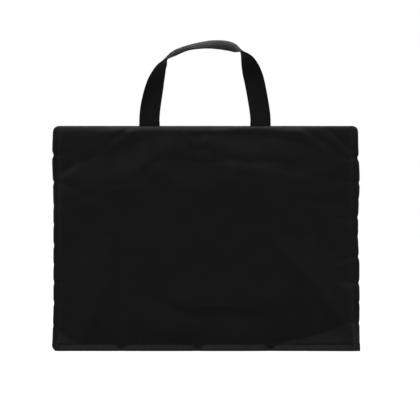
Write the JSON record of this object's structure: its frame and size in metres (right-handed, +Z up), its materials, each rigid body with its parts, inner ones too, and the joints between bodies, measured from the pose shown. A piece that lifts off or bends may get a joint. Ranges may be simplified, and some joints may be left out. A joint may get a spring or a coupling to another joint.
{
  "type": "portfolio case",
  "caption": "Slim padded fabric case for carrying drawings, which zips along the top and both sides, opens flat from a spine and has webbing handles.",
  "frame": {"origin": "middle of the underside of the spine, which the closed case stands on", "axes": "+Z up towards the handles, -Y out of the front cover, +X to the right as seen from the front"},
  "size_m": [0.48, 0.078, 0.4885],
  "materials": {
    "nylon": "black woven nylon, soft sheen",
    "foam": "soft grey foam, hidden",
    "board": "grey stiffening board, hidden",
    "lining": "dark grey lining cloth",
    "binding": "black turned-in hem",
    "webbing": "black ribbed webbing",
    "zip_tape": "black woven zip tape",
    "zip_coil": "black nylon coil",
    "zip_metal": "black lacquered zinc"
  },
  "bodies": {
    "spine": {"spine_panel": "nylon", "spine_board": "board", "spine_lining": "lining", "zip_end_tab_left": "nylon", "zip_end_tab_right": "nylon"},
    "front_handle": {"front_handle": "webbing"},
    "back_handle": {"back_handle": "webbing"},
    "left_slider": {"left_slider": "zip_metal"},
    "left_pull": {"left_pull": "zip_metal"},
    "right_slider": {"right_slider": "zip_metal"},
    "right_pull": {"right_pull": "zip_metal"},
    "front_cover": {"front_shell": "nylon", "front_foam": "foam", "front_board": "board", "front_lining": "lining", "front_hem": "binding", "front_zip_tape": "zip_tape", "front_zip_coil": "zip_coil", "front_handle_ends": "webbing"},
    "back_cover": {"back_shell": "nylon", "back_foam": "foam", "back_board": "board", "back_lining": "lining", "back_hem": "binding", "back_zip_tape": "zip_tape", "back_zip_coil": "zip_coil", "back_handle_ends": "webbing"}
  },
  "joints": [
    {"name": "front_cover_fold", "type": "hinge", "parent": "spine", "child": "front_cover", "pos_m": [0, -0.017, 0], "axis": [1, 0, 0], "range_deg": [0, 90]},
    {"name": "back_cover_fold", "type": "hinge", "parent": "spine", "child": "back_cover", "pos_m": [0, 0.017, 0], "axis": [-1, 0, 0], "range_deg": [0, 90]},
    {"name": "front_handle_swing", "type": "hinge", "parent": "front_cover", "child": "front_handle", "pos_m": [0, -0.0133, 0.356], "axis": [1, 0, 0], "range_deg": [0, 168]},
    {"name": "back_handle_swing", "type": "hinge", "parent": "back_cover", "child": "back_handle", "pos_m": [0, 0.0133, 0.356], "axis": [1, 0, 0], "range_deg": [0, 160]},
    {"name": "left_slider_travel", "type": "slide", "parent": "back_cover", "child": "left_slider", "axis": [-1, 0, 0], "range_m": [0, 0.19]},
    {"name": "right_slider_travel", "type": "slide", "parent": "back_cover", "child": "right_slider", "axis": [1, 0, 0], "range_m": [0, 0.19]},
    {"name": "left_pull_swing", "type": "hinge", "parent": "left_slider", "child": "left_pull", "pos_m": [-0.008, 0, 0.35], "axis": [0, 1, 0], "range_deg": [0, 100]},
    {"name": "right_pull_swing", "type": "hinge", "parent": "right_slider", "child": "right_pull", "pos_m": [0.008, 0, 0.35], "axis": [0, -1, 0], "range_deg": [0, 100]}
  ]
}
